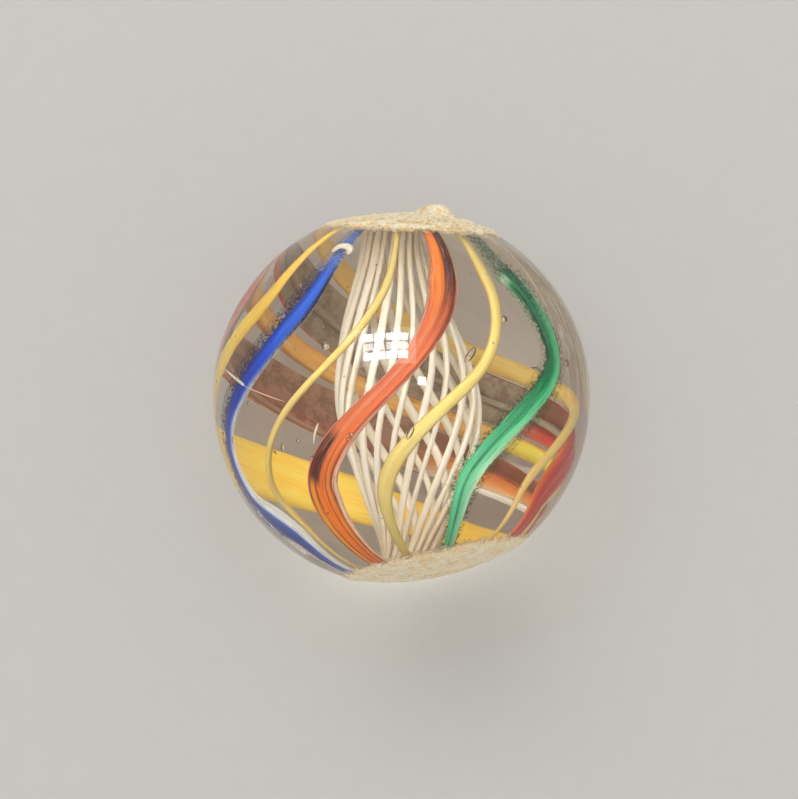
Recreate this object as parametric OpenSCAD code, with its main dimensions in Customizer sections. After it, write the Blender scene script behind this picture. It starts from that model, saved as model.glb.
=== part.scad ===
// Handmade swirl marble: a ball of clear glass with a twisted cage of pale threads in its
// core, and a ring of five coloured ribbons and five yellow strands wound round the cage.
// The ball was cut from the end of a glass cane and rounded while it was hot, so the cane's
// pattern narrows to a rough scar at each end: the crown, near +Y, and the foot, near -Y.
//
// The origin is the ball's centre, +Y runs along the line of the twist and +Z points up,
// away from the surface that the ball lies on. Every piece is fused into the clear glass.
// Lengths are shares of the ball's radius unless a comment says otherwise.
// An azimuth runs from +Z towards +X about the line of the twist, in degrees.

/* [Ball] */
// Diameter of the ball at its waist, in millimetres
ball_diameter = 17.5; // [12:0.5:25]
// Height of the low dome over each scar
scar_height = 0.965; // [0.95:0.005:0.975]
// Half angle of the crown scar, seen from the ball's centre
crown_angle = 25; // [22:1:27]
// Half angle of the foot scar, seen from the ball's centre
foot_angle = 28; // [24:1:29]
// Reach of the blob of glass left at the crown where the rod broke off
nub_reach = 1.02; // [1:0.005:1.025]

/* [Core cage] */
// Number of pale threads in the cage
thread_count = 18; // [12:1:18]
// Radius of the cage at the waist
cage_waist = 0.25; // [0.22:0.01:0.28]
// Radius of the cage at the crown
cage_crown = 0.105; // [0.105:0.005:0.16]
// Radius of the cage at the foot
cage_foot = 0.1; // [0.1:0.005:0.13]
// Thickness of a thread
thread_size = 0.028; // [0.018:0.002:0.028]

/* [Ring of ribbons and strands] */
// Radius of the ring at the waist
ring_waist = 0.718; // [0.708:0.002:0.728]
// Thickness of a ribbon's coloured layer
colour_layer = 0.024; // [0.018:0.002:0.028]
// Thickness of a ribbon's pale backing
backing_layer = 0.018; // [0.014:0.002:0.02]
// Thickness of a yellow strand
strand_thickness = 0.042; // [0.03:0.002:0.044]

/* [Hidden] */
ball_radius = ball_diameter / 2;
curve_steps = 96;
small_curve_steps = 32;

// The pattern runs between these latitudes, and it winds fastest at the waist.
end_latitude = 66;
wind_softness = 38;
waist_bend = 0.22;
// The ring swells towards its ends, keeps off the ball's centre, and thins into the scars.
ring_ends = 0.816;
ring_reach = 0.925;
ring_off_waist = [-0.057, 0.128];
ring_off_crown = [0.02, 0.139];
ring_off_foot = [0.057, 0.148];
calm_latitude = 25;
swell_latitude = 35;
scar_latitude = 45;
draw_in = 0.15;
end_taper = 0.5;

// The cage stands a little off the ball's centre too, and reaches nearer to the scars. It
// narrows from its widest latitude to its end radius over a span of latitudes.
cage_reach = 0.87;
cage_widest = -3;
cage_span = 42;
cage_calm_latitude = 10;
cage_off_waist = [0.02, 0.04];
cage_off_crown = [0.08, 0.1];
cage_off_foot = [-0.14, 0.06];
thread_wind_crown = 55;
thread_wind_foot = 68;
thread_wander = 2;

// Middles of the two scars and of the nub, as directions from the ball's centre.
crown_middle = leaning(12, 1, 8);
foot_middle = leaning(3, -1, 2);
nub_middle = leaning(20, 1, 7);
nub_radius = 0.13;

// Shell-shaped chips in each scar: turn about its middle, distance from its middle in
// degrees, radius of the hollow and depth.
CROWN_CHIPS = [[200, 8, 0.6, 0.02], [290, 14, 0.5, 0.018], [130, 13, 0.55, 0.018]];
FOOT_CHIPS = [[150, 10, 0.62, 0.02], [250, 11, 0.5, 0.022], [20, 13, 0.56, 0.018]];

// Bubbles in the clear glass: azimuth, latitude, distance from the centre and radius.
BUBBLES = [
  [-16, 49, 0.945, 0.018],
  [-23, 15, 0.92, 0.021],
  [23, 5, 0.92, 0.015],
  [0, -16, 0.925, 0.014],
  [38, 15, 0.92, 0.016],
  [-20, -15, 0.93, 0.012],
  [-44, -13, 0.92, 0.014]
];

// One row a ribbon: name, azimuth at the waist, at the crown's end and at the foot's end,
// sway, widths towards the crown, at the waist and towards the foot, where its backing
// starts and ends across it, as shares of half its width, and colour.
RIBBONS = [
  ["blue", -88.7, -26.4, -104, 2, [0.16, 0.15, 0.15], 0, 1, [0.05, 0.25, 0.68]],
  ["orange", 0.8, 41.9, -60.4, 0.3, [0.152, 0.1, 0.18], -1, 1, [0.96, 0.5, 0.18]],
  ["green", 78.9, 76, 14.1, 0.1, [0.18, 0.2, 0.19], -0.4, 0.4, [0.1, 0.6, 0.36]],
  ["red", 154, 213.8, 84.2, 2.3, [0.14, 0.126, 0.15], -0.1, 0.2, [0.88, 0.3, 0.2]],
  ["rust", 185.9, 246.1, 108.7, -0.5, [0.15, 0.13, 0.09], 0.7, 1, [0.62, 0.27, 0.2]]
];
// One row a strand: name, the same azimuths, sway and the same three widths.
STRANDS = [
  ["yellow_strand_1", 222.8, 306.5, 127.2, -2.3, [0.08, 0.15, 0.06]],
  ["yellow_strand_2", -40.2, 14.3, -84.8, 3, [0.042, 0.038, 0.036]],
  ["yellow_strand_3", 36, 64.8, -28.2, 0.1, [0.062, 0.055, 0.085]],
  ["yellow_strand_4", 136.9, 201.8, 56.7, 3.2, [0.055, 0.055, 0.05]],
  ["yellow_strand_5", 170.1, 225.6, 96.8, 2, [0.055, 0.06, 0.057]]
];
THREADS = [
  for (i = [1 : thread_count])
    let (
      waist = 360 / thread_count * i + thread_wander * sin(137 * i),
      sizes = [thread_size, thread_size, thread_size]
    )
      [str("core_thread_", i), waist, waist + thread_wind_crown, waist - thread_wind_foot, 0, sizes]
];

CLEAR = [0.93, 0.95, 0.93, 0.35];
PALE = [0.96, 0.93, 0.84];
CREAM = [0.94, 0.88, 0.74];
YELLOW = [0.98, 0.84, 0.4];

ribbon_rings = 23;
strand_rings = 23;
thread_rings = 14;
half_section = 5;
strand_sides = 8;
thread_sides = 5;
flat_top = 0.6;

clear_body();
for (row = RIBBONS) {
  ribbon(row);
  backing(row);
}
for (row = STRANDS) {
  strand(row);
}
for (row = THREADS) {
  core_thread(row);
}

// ---- Helpers ----

function unit(v) = v / norm(v);

function ease(t) = let (s = min(max(t, 0), 1)) s * s * (3 - 2 * s);

// A direction from the centre that leans off +Y or -Y, towards +X and then towards +Z.
function leaning(to_x, side, to_z) = unit([tan(to_x), side, tan(to_z)]);

function direction(azimuth, lat) = [cos(lat) * sin(azimuth), sin(lat), cos(lat) * cos(azimuth)];

// Share of the way from a latitude to the pattern's end, eased at both ends.
function share_past(lat, from) = ease((abs(lat) - from) / (end_latitude - from));

// Width of a row at a latitude, from its three widths.
function width_at(row, lat) =
  row[5][1] + (row[5][lat > 0 ? 0 : 2] - row[5][1]) * ease(abs(lat) / swell_latitude);

// Winding from the waist, as a share of the winding at the pattern's end.
function winding(lat) = atan(lat / wind_softness) / atan(end_latitude / wind_softness);

// The azimuth passes through a row's three values, with a soft bend at the waist.
function path_azimuth(row, lat) =
  let (
    w = winding(lat),
    soft = sqrt(w * w + waist_bend * waist_bend) - waist_bend,
    softest = sqrt(1 + waist_bend * waist_bend) - waist_bend,
    lift = (row[2] + row[3]) / 2 - row[1]
  )
  row[1] + (row[2] - row[3]) / 2 * w + lift * soft / softest + row[4] * sin(180 * w);

// How far the pattern's middle lies off the ball's centre, along X and Z.
function middle_off(lat, waist, crown, foot, calm) =
  waist * cos(lat) + (lat > 0 ? crown : foot) * share_past(lat, calm);

// ---- Paths ----

// A point of the ring before it is drawn into the scars.
function ring_point(row, lat) =
  let (
    reach = ring_waist + (ring_ends - ring_waist) * share_past(lat, swell_latitude),
    off = middle_off(lat, ring_off_waist, ring_off_crown, ring_off_foot, calm_latitude)
  )
  reach * direction(path_azimuth(row, lat), lat) + [off[0], 0, off[1]];

// The ring's ends close in on the middle of their scar and rise to just beneath it.
function ring_path(row, lat) =
  let (
    p = ring_point(row, lat),
    scar = (lat > 0 ? crown_middle : foot_middle) * ring_reach,
    s = share_past(lat, scar_latitude),
    q = p + (scar - p) * draw_in * s
  )
  unit(q) * (norm(q) + (ring_reach - norm(q)) * s);

function cage_path(row, lat) =
  let (
    end_radius = lat > 0 ? cage_crown : cage_foot,
    narrowed = ease(abs(lat - cage_widest) / cage_span),
    radius = cage_waist + (end_radius - cage_waist) * narrowed,
    off = middle_off(lat, cage_off_waist, cage_off_crown, cage_off_foot, cage_calm_latitude),
    height = cage_reach * sin(lat) / sin(end_latitude),
    azimuth = path_azimuth(row, lat)
  )
  [off[0] + radius * sin(azimuth), height, off[1] + radius * cos(azimuth)];

function path(row, lat, in_cage) = in_cage ? cage_path(row, lat) : ring_path(row, lat);

// ---- Sweeps ----

function taper(lat) = 1 - (1 - end_taper) * share_past(lat, swell_latitude);

// One cross-section of a sweep, in millimetres, square to the path and facing outwards. A
// shape's places across are shares of half the row's width, and its heights are lengths.
function section_at(row, lat, shape, in_cage) =
  let (
    step = 0.5,
    p = path(row, lat, in_cage),
    along = unit(path(row, lat - step, in_cage) - path(row, lat + step, in_cage)),
    across = unit(cross([p[0], 0, p[2]], along)),
    outward = cross(along, across),
    half_width = width_at(row, lat) / 2
  )
  [
    for (c = shape)
      ball_radius * (p + taper(lat) * (c[0] * half_width * across + c[1] * outward))
  ];

// Half of a flat oval between two places across, above or below the line between them.
function half_oval(from, to, height, side) = [
  for (k = [0 : half_section])
    let (turn = 180 * k / half_section, middle = (from + to) / 2)
      [middle + side * (to - from) / 2 * cos(turn), side * height * pow(sin(turn), flat_top)]
];

// A ribbon's coloured half, over its whole width.
function colour_shape() = half_oval(-1, 1, colour_layer, 1);

// A ribbon's pale half, over its own part of the width.
function backing_shape(row) = half_oval(row[6], row[7], backing_layer, -1);

// An edge of the backing, where it isn't the ribbon's edge too.
function inner_edge(share) = abs(share) < 1 ? [[share, 0]] : [];

function oval(height, sides) = [
  for (k = [0 : sides - 1]) [cos(360 * k / sides), height / 2 * sin(360 * k / sides)]
];

// The two triangles between a section's edge a-b and the next section's. Sides that are
// crossed split along the other diagonal, so pieces that share a face share its triangles.
function side_faces(a, b, sides, crossed) =
  crossed ? [[a, a + sides, b], [b, a + sides, b + sides]]
          : [[a, b + sides, b], [a, a + sides, b + sides]];

// Sweeps a section along a row's path; the sides numbered from crossed[0] up to crossed[1]
// are crossed.
module sweep(row, shape, rings, crossed = [0, 0], in_cage = false) {
  sides = len(shape);
  last = (rings - 1) * sides;
  points = [
    for (i = [0 : rings - 1])
      each section_at(row, end_latitude * (1 - 2 * i / (rings - 1)), shape, in_cage)
  ];
  walls = [
    for (i = [0 : rings - 2], k = [0 : sides - 1])
      let (is_crossed = k >= crossed[0] && k < crossed[1])
        each side_faces(i * sides + k, i * sides + (k + 1) % sides, sides, is_crossed)
  ];
  crown_cap = [for (k = [1 : sides - 2]) [0, k, k + 1]];
  foot_cap = [for (k = [1 : sides - 2]) [last, last + k + 1, last + k]];
  polyhedron(points, concat(walls, crown_cap, foot_cap));
}

// ---- Pieces ----

module ribbon(row) {
  shape = concat(colour_shape(), inner_edge(row[6]), inner_edge(row[7]));
  color(row[8]) sweep(row, shape, ribbon_rings);
}

module backing(row)
  color(PALE) sweep(row, backing_shape(row), ribbon_rings, [0, half_section + 1]);

// The room that a ribbon and its backing take in the clear glass.
module ribbon_room(row) {
  below = backing_shape(row);
  hidden = [for (k = [1 : half_section - 1]) below[k]];
  before = inner_edge(row[6]);
  shape = concat(colour_shape(), before, hidden, inner_edge(row[7]));
  first = half_section + len(before);
  sweep(row, shape, ribbon_rings, [first, first + half_section]);
}

module strand(row)
  color(YELLOW) sweep(row, oval(strand_thickness, strand_sides), strand_rings);

module core_thread(row)
  color(CREAM)
    sweep(row, oval(thread_size, thread_sides), thread_rings, in_cage = true);

// A large sphere whose surface is the low dome over a scar.
module scar_dome(middle, half_angle) {
  rise = scar_height - cos(half_angle);
  radius = (pow(sin(half_angle), 2) + pow(rise, 2)) / (2 * rise);
  translate(ball_radius * (scar_height - radius) * middle)
    sphere(r = ball_radius * radius, $fn = curve_steps);
}

module scar_chips(middle, rows) {
  rotate([0, acos(middle[2]), atan2(middle[1], middle[0])])
    for (chip = rows)
      rotate([0, chip[1], chip[0]])
        translate([0, 0, ball_radius * (scar_height + chip[2] - chip[3])])
          sphere(r = ball_radius * chip[2], $fn = small_curve_steps);
}

module nub()
  translate(ball_radius * (nub_reach - nub_radius) * nub_middle)
    sphere(r = ball_radius * nub_radius, $fn = small_curve_steps);

module rough_ball() {
  difference() {
    union() {
      intersection() {
        sphere(r = ball_radius, $fn = curve_steps);
        scar_dome(crown_middle, crown_angle);
        scar_dome(foot_middle, foot_angle);
      }
      nub();
    }
    scar_chips(crown_middle, CROWN_CHIPS);
    scar_chips(foot_middle, FOOT_CHIPS);
  }
}

module clear_body() {
  color(CLEAR)
    difference() {
      rough_ball();
      for (bubble = BUBBLES)
        translate(ball_radius * bubble[2] * direction(bubble[0], bubble[1]))
          sphere(r = ball_radius * bubble[3], $fn = small_curve_steps);
      for (row = RIBBONS) ribbon_room(row);
      for (row = STRANDS) strand(row);
      for (row = THREADS) core_thread(row);
    }
}
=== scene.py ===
"""Looks of a handmade swirl marble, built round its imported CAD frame.

The marble is one fused ball: clear glass with a twisted cage of pale threads in its core
and a ring of coloured ribbons and yellow strands round the cage. Lengths are shares of the
ball's radius unless they say otherwise, and the radius comes from the frame. An azimuth
runs from +Z towards +X about the line of the twist, which is +Y, and a latitude runs from
the waist towards the crown. Both are in degrees.
"""

import logging
import math
import random
from dataclasses import dataclass, field
from enum import Enum
from typing import Callable, Sequence

import bmesh
import bpy
from mathutils import Matrix, Vector, noise


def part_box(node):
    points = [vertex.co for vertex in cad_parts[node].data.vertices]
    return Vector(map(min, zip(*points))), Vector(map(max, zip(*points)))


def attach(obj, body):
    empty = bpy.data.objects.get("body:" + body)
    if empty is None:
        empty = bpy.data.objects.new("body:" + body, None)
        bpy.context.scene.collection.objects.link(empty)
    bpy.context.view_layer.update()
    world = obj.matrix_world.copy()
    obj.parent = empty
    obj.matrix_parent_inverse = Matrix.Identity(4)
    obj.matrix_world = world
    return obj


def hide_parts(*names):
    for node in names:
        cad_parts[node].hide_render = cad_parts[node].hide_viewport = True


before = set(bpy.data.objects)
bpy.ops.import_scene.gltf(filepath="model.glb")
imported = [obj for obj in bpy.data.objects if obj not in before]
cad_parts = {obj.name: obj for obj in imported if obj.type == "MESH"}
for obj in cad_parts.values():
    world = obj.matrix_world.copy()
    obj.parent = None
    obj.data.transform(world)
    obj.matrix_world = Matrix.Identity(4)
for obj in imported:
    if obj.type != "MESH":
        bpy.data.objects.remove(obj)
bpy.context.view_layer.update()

LOG = logging.getLogger("marble")
BODY = "root"
Colour = tuple[float, float, float]
Stop = tuple[float, Colour, float]
Point = tuple[float, float]
Socket = bpy.types.NodeSocket


class Slot(Enum):
    """Material slots of the record for the glass colours."""

    CLEAR = "clear_glass"
    BLUE = "blue_glass"
    ORANGE = "orange_glass"
    GREEN = "green_glass"
    RED = "red_glass"
    RUST = "rust_glass"
    PALE = "pale_glass"
    YELLOW = "yellow_glass"
    CREAM = "cream_glass"


class Scar(Enum):
    """The two rough ends of the pattern, and the side of the waist that each is on."""

    CROWN = 1
    FOOT = -1


class Track(Enum):
    """Where a cane runs: in the ring, or in the cage at the core."""

    RING = "ring"
    CAGE = "cage"


def tint(red: int, green: int, blue: int) -> Colour:
    """Turns a display colour, 0 to 255 a channel, into the linear one that shaders take."""
    shares = [value / 255 for value in (red, green, blue)]
    return tuple(s / 12.92 if s <= 0.04045 else ((s + 0.055) / 1.055) ** 2.4 for s in shares)


def ease(share: float) -> float:
    """Eases a share from 0 to 1 at both of its ends."""
    share = min(max(share, 0.0), 1.0)
    return share * share * (3 - 2 * share)


def between(share: float, first: float, second: float) -> float:
    """Gives the number at a share of the way from one number to another."""
    return first + (second - first) * share


def leaning(to_x: float, side: float, to_z: float) -> Vector:
    """Gives a direction that leans off +Y or -Y.

    Args:
        to_x: Lean towards +X, in degrees.
        side: 1 for +Y, -1 for -Y.
        to_z: Lean towards +Z, in degrees.

    Returns:
        The unit direction from the ball's centre.
    """
    x, z = math.tan(math.radians(to_x)), math.tan(math.radians(to_z))
    return Vector((x, side, z)).normalized()


def bearing(azimuth: float, latitude: float) -> Vector:
    """Gives the unit direction at an azimuth and a latitude."""
    a, b = math.radians(azimuth), math.radians(latitude)
    return Vector((math.cos(b) * math.sin(a), math.sin(b), math.cos(b) * math.cos(a)))


def ray_exit(way: Vector, centre: Vector, radius: float) -> float:
    """Gives where a ray from the ball's centre leaves a sphere.

    Args:
        way: Unit direction of the ray.
        centre: The sphere's centre.
        radius: The sphere's radius.

    Returns:
        The distance to the far crossing, or -1 where the ray misses it.
    """
    b = way.dot(centre)
    root = b * b - centre.length_squared + radius * radius
    return b + math.sqrt(root) if root >= 0 else -1.0


# ---- The pattern inside the ball ----


@dataclass(frozen=True)
class Cane:
    """One cane of the pattern.

    Attributes:
        name: The CAD node that it stands for.
        waist: Azimuth at the waist.
        crown: Azimuth at the crown's end.
        foot: Azimuth at the foot's end.
        sway: Extra azimuth half way to the crown, and as much less half way to the foot.
        widths: Widths towards the crown, at the waist and towards the foot.
    """

    name: str
    waist: float
    crown: float
    foot: float
    sway: float
    widths: tuple[float, float, float]


@dataclass(frozen=True)
class Pattern:
    """Where the canes run: the CAD's own rules, with the ball's radius from the frame."""

    radius: float
    end_latitude: float = 66.0
    wind_softness: float = 38.0
    waist_bend: float = 0.22
    ring_waist: float = 0.718
    ring_ends: float = 0.816
    ring_reach: float = 0.925
    ring_off: tuple[Point, Point, Point] = ((-0.057, 0.128), (0.02, 0.139), (0.057, 0.148))
    cage_waist: float = 0.25
    cage_ends: Point = (0.105, 0.1)
    cage_widest: float = -3.0
    cage_span: float = 42.0
    cage_reach: float = 0.87
    cage_off: tuple[Point, Point, Point] = ((0.02, 0.04), (0.08, 0.1), (-0.14, 0.06))
    calm_latitude: float = 25.0
    cage_calm_latitude: float = 10.0
    swell_latitude: float = 35.0
    scar_latitude: float = 45.0
    draw_in: float = 0.15
    end_taper: float = 0.5
    crown_middle: Vector = field(default_factory=lambda: leaning(12, 1, 8))
    foot_middle: Vector = field(default_factory=lambda: leaning(3, -1, 2))

    def share_past(self, latitude: float, start: float) -> float:
        """Gives the eased share of the way from a latitude to the pattern's end."""
        return ease((abs(latitude) - start) / (self.end_latitude - start))

    def azimuth(self, cane: Cane, latitude: float) -> float:
        """Gives a cane's azimuth at a latitude, with a soft bend at the waist."""
        whole = math.atan(self.end_latitude / self.wind_softness)
        w = math.atan(latitude / self.wind_softness) / whole
        soft, softest = (math.hypot(x, self.waist_bend) - self.waist_bend for x in (w, 1.0))
        lift = (cane.crown + cane.foot) / 2 - cane.waist
        wound = cane.waist + (cane.crown - cane.foot) / 2 * w + lift * soft / softest
        return wound + cane.sway * math.sin(math.pi * w)

    def width(self, cane: Cane, latitude: float) -> float:
        """Gives a cane's width at a latitude, before it tapers."""
        end = cane.widths[0 if latitude > 0 else 2]
        return between(ease(abs(latitude) / self.swell_latitude), cane.widths[1], end)

    def middle_off(self, latitude: float, offs: tuple[Point, Point, Point], calm: float) -> Vector:
        """Gives how far the pattern's middle lies off the ball's centre.

        Args:
            latitude: Latitude of the place.
            offs: Offsets along X and Z at the waist, the crown and the foot.
            calm: Latitude from which the offset of that end comes in.

        Returns:
            The offset in the XZ plane.
        """
        waist, end = offs[0], offs[1] if latitude > 0 else offs[2]
        low = math.cos(math.radians(latitude))
        past = self.share_past(latitude, calm)
        return Vector((waist[0] * low + end[0] * past, 0, waist[1] * low + end[1] * past))

    def ring_point(self, cane: Cane, latitude: float) -> Vector:
        """Gives a point of a ribbon's or strand's middle line, drawn in at the scars."""
        swell = self.share_past(latitude, self.swell_latitude)
        reach = between(swell, self.ring_waist, self.ring_ends)
        point = reach * bearing(self.azimuth(cane, latitude), latitude)
        point += self.middle_off(latitude, self.ring_off, self.calm_latitude)
        scar = self.crown_middle if latitude > 0 else self.foot_middle
        s = self.share_past(latitude, self.scar_latitude)
        point = point.lerp(scar * self.ring_reach, self.draw_in * s)
        return point.normalized() * between(s, point.length, self.ring_reach)

    def cage_point(self, cane: Cane, latitude: float) -> Vector:
        """Gives a point of a core thread's middle line."""
        end = self.cage_ends[0 if latitude > 0 else 1]
        past = ease(abs(latitude - self.cage_widest) / self.cage_span)
        radius = between(past, self.cage_waist, end)
        top = math.sin(math.radians(self.end_latitude))
        height = self.cage_reach * math.sin(math.radians(latitude)) / top
        a = math.radians(self.azimuth(cane, latitude))
        point = Vector((radius * math.sin(a), height, radius * math.cos(a)))
        return point + self.middle_off(latitude, self.cage_off, self.cage_calm_latitude)

    def point(self, cane: Cane, track: Track, latitude: float) -> Vector:
        """Gives a point of a cane's middle line on its track."""
        follow = self.ring_point if track is Track.RING else self.cage_point
        return follow(cane, latitude)

    def taper(self, latitude: float) -> float:
        """Gives the share of its full size that a cane has at a latitude."""
        return 1 - (1 - self.end_taper) * self.share_past(latitude, self.swell_latitude)

    def station(self, cane: Cane, track: Track, latitude: float) -> Matrix:
        """Gives the frame of a cane's cross-section, in metres.

        Args:
            cane: The cane.
            track: Its track.
            latitude: Latitude of the section.

        Returns:
            A matrix whose X runs across the cane, Y outwards and Z along it.
        """
        step = 0.5
        point = self.point(cane, track, latitude)
        ahead = self.point(cane, track, latitude - step)
        behind = self.point(cane, track, latitude + step)
        along = (ahead - behind).normalized()
        across = Vector((point.x, 0, point.z)).cross(along).normalized()
        outward = along.cross(across)
        place = Matrix((across, outward, along)).transposed().to_4x4()
        place.translation = point
        return Matrix.Scale(self.radius, 4) @ place


# ---- Mesh helpers ----


def finished(
    name: str, mesh: bmesh.types.BMesh, stands_for: Sequence[str] = ()
) -> bpy.types.Object:
    """Turns a bmesh into a smooth object that rides on the ball.

    Args:
        name: The piece's name.
        mesh: Its geometry, freed here.
        stands_for: CAD nodes that it replaces, if any.

    Returns:
        The linked object.
    """
    for face in mesh.faces:
        face.smooth = True
    data = bpy.data.meshes.new(name)
    mesh.to_mesh(data)
    mesh.free()
    piece = bpy.data.objects.new(name, data)
    bpy.context.scene.collection.objects.link(piece)
    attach(piece, BODY)
    if stands_for:
        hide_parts(*stands_for)
    return piece


@dataclass(frozen=True)
class Ring:
    """One cross-section of a sweep.

    Attributes:
        station: Frame of the section, in metres.
        points: Its outline, as shares of the ball's radius.
        along: Distance along the cane.
        latitude: Latitude of the section.
    """

    station: Matrix
    points: Sequence[Point]
    along: float
    latitude: float


def swept(rings: Sequence[Ring], across: Sequence[float], outer: int) -> bmesh.types.BMesh:
    """Extrudes a closed section along a row of frames.

    Args:
        rings: The sections from end to end.
        across: Place of each outline point across the cane, -1 to 1.
        outer: How many of the points, from the first, lie on the outer side.

    Returns:
        A closed mesh with point attributes along, across, latitude and inner.
    """
    mesh = bmesh.new()
    layers = mesh.verts.layers
    place = layers.int.new("place")
    names = ("along", "across", "latitude", "inner")
    along_of, across_of, latitude_of, inner_of = (layers.float.new(name) for name in names)
    count = len(across)
    ring = [mesh.verts.new((0, 0, 0)) for _ in range(count)]
    for k, vert in enumerate(ring):
        vert[place] = k
        vert[across_of] = across[k]
    edges = [mesh.edges.new((ring[k], ring[(k + 1) % count])) for k in range(count)]
    for i, section in enumerate(rings):
        if i:
            made = bmesh.ops.extrude_edge_only(mesh, edges=edges)["geom"]
            fresh = {g for g in made if isinstance(g, bmesh.types.BMVert)}
            ring = sorted(fresh, key=lambda v: v[place])
            edges = [g for g in made if isinstance(g, bmesh.types.BMEdge) and fresh.issuperset(g.verts)]
        for vert, (x, y) in zip(ring, section.points):
            vert.co = section.station @ Vector((x, y, 0))
            vert[along_of] = section.along
            vert[latitude_of] = section.latitude
            vert[inner_of] = float(vert[place] >= outer)
    bmesh.ops.holes_fill(mesh, edges=[e for e in mesh.edges if e.is_boundary], sides=0)
    bmesh.ops.recalc_face_normals(mesh, faces=mesh.faces)
    layers.int.remove(place)
    return mesh


# ---- Node helpers ----


class Recipe:
    """One material's node tree, with short ways to add to it."""

    def __init__(self, name: str) -> None:
        """Starts an empty material.

        Args:
            name: The material's name.
        """
        self.material = bpy.data.materials.new(name)
        self.material.use_nodes = True
        self.tree = self.material.node_tree
        self.tree.nodes.clear()

    def add(self, kind: str, inputs: dict | None = None, **settings: object) -> bpy.types.Node:
        """Adds a node.

        Args:
            kind: The node's type name.
            inputs: Values or sockets for its inputs, by name or number.
            **settings: Properties of the node.

        Returns:
            The node.
        """
        node = self.tree.nodes.new(kind)
        for key, value in settings.items():
            setattr(node, key, value)
        for key, value in (inputs or {}).items():
            self.feed(node.inputs[key], value)
        return node

    def feed(self, target: Socket, value: object) -> None:
        """Links a socket, or sets a plain value, on an input."""
        if isinstance(value, bpy.types.NodeSocket):
            self.tree.links.new(value, target)
        elif isinstance(value, tuple) and len(value) == 3 and target.type == "RGBA":
            target.default_value = (*value, 1.0)
        else:
            target.default_value = value

    def attribute(self, name: str) -> Socket:
        """Gives a point attribute's value."""
        return self.add("ShaderNodeAttribute", attribute_name=name).outputs["Fac"]

    def place(self) -> Socket:
        """Gives the object coordinates."""
        return self.add("ShaderNodeTexCoord").outputs["Object"]

    def math(self, operation: str, first: object, second: object = 0.0, third: object = 0.0) -> Socket:
        """Gives the result of a math operation on up to three values."""
        node = self.add("ShaderNodeMath", operation=operation)
        for socket, value in zip(node.inputs, (first, second, third)):
            self.feed(socket, value)
        return node.outputs[0]

    def span(self, value: object, low: float, high: float, start: float = 0.0, end: float = 1.0) -> Socket:
        """Maps a value from low..high to start..end, eased and clamped."""
        node = self.add("ShaderNodeMapRange", interpolation_type="SMOOTHSTEP")
        for socket, number in zip(node.inputs, (value, low, high, start, end)):
            self.feed(socket, number)
        return node.outputs[0]

    def vector(self, x: object, y: object, z: object = 0.0) -> Socket:
        """Gives a vector from three values."""
        return self.add("ShaderNodeCombineXYZ", {0: x, 1: y, 2: z}).outputs[0]

    def grain(self, across: float, along: float) -> Socket:
        """Gives coordinates that run with a cane.

        Args:
            across: How often a pattern repeats from one edge to the middle.
            along: How often it repeats in one radius of the ball.

        Returns:
            The coordinates.
        """
        side = self.math("MULTIPLY", self.attribute("across"), across)
        return self.vector(side, self.math("MULTIPLY", self.attribute("along"), along))

    def noise(self, where: Socket, scale: float, detail: float = 3.0, roughness: float = 0.55) -> Socket:
        """Gives a noise value around a half."""
        inputs = {"Vector": where, "Scale": scale, "Detail": detail, "Roughness": roughness}
        return self.add("ShaderNodeTexNoise", inputs).outputs["Fac"]

    def blend(self, share: object, first: object, second: object) -> Socket:
        """Gives the mix of two colours."""
        node = self.add("ShaderNodeMix", data_type="RGBA")
        for index, value in ((0, share), (6, first), (7, second)):
            self.feed(node.inputs[index], value)
        return node.outputs[2]

    def between(self, share: object, first: object, second: object) -> Socket:
        """Gives the mix of two numbers."""
        node = self.add("ShaderNodeMix", data_type="FLOAT")
        for index, value in ((0, share), (2, first), (3, second)):
            self.feed(node.inputs[index], value)
        return node.outputs[0]

    def ramp(self, where: Socket, stops: Sequence[Stop]) -> tuple[Socket, Socket]:
        """Gives a colour and an opacity that change with a place across a cane.

        Args:
            where: The place, -1 to 1.
            stops: Place, colour and opacity of each stop, from -1 up to 1.

        Returns:
            The colour's and the opacity's sockets.
        """
        node = self.add("ShaderNodeValToRGB", {0: self.math("MULTIPLY_ADD", where, 0.5, 0.5)})
        elements = node.color_ramp.elements
        elements.remove(elements[1])
        for i, (place, colour, opacity) in enumerate(stops):
            share = (place + 1) / 2
            element = elements.new(share) if i else elements[0]
            element.position = share
            element.color = (*colour, opacity)
        return node.outputs["Color"], node.outputs["Alpha"]

    def bump(self, height: Socket, distance: float, strength: float = 1.0) -> Socket:
        """Gives a bumped normal.

        Args:
            height: Height value.
            distance: Depth of the bump in metres.
            strength: Share of the bump that is used.

        Returns:
            The normal's socket.
        """
        inputs = {"Height": height, "Distance": distance, "Strength": strength}
        return self.add("ShaderNodeBump", inputs).outputs[0]

    def mixed(self, share: object, first: bpy.types.Node, second: bpy.types.Node) -> bpy.types.Node:
        """Gives the mix of two shaders."""
        inputs = {0: share, 1: first.outputs[0], 2: second.outputs[0]}
        return self.add("ShaderNodeMixShader", inputs)

    def lit_through(self, shader: bpy.types.Node, colour: Colour) -> bpy.types.Node:
        """Lets the lamps' light pass through a shader, tinted by a colour."""
        clear = self.add("ShaderNodeBsdfTransparent", {"Color": colour})
        return self.mixed(self.add("ShaderNodeLightPath").outputs["Is Shadow Ray"], shader, clear)

    def output(self, surface: bpy.types.Node, volume: bpy.types.Node | None = None) -> bpy.types.Material:
        """Links the shaders to the output and gives the material."""
        out = self.add("ShaderNodeOutputMaterial", {"Surface": surface.outputs[0]})
        if volume is not None:
            self.feed(out.inputs["Volume"], volume.outputs[0])
        return self.material


# ---- Finishes ----


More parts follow.
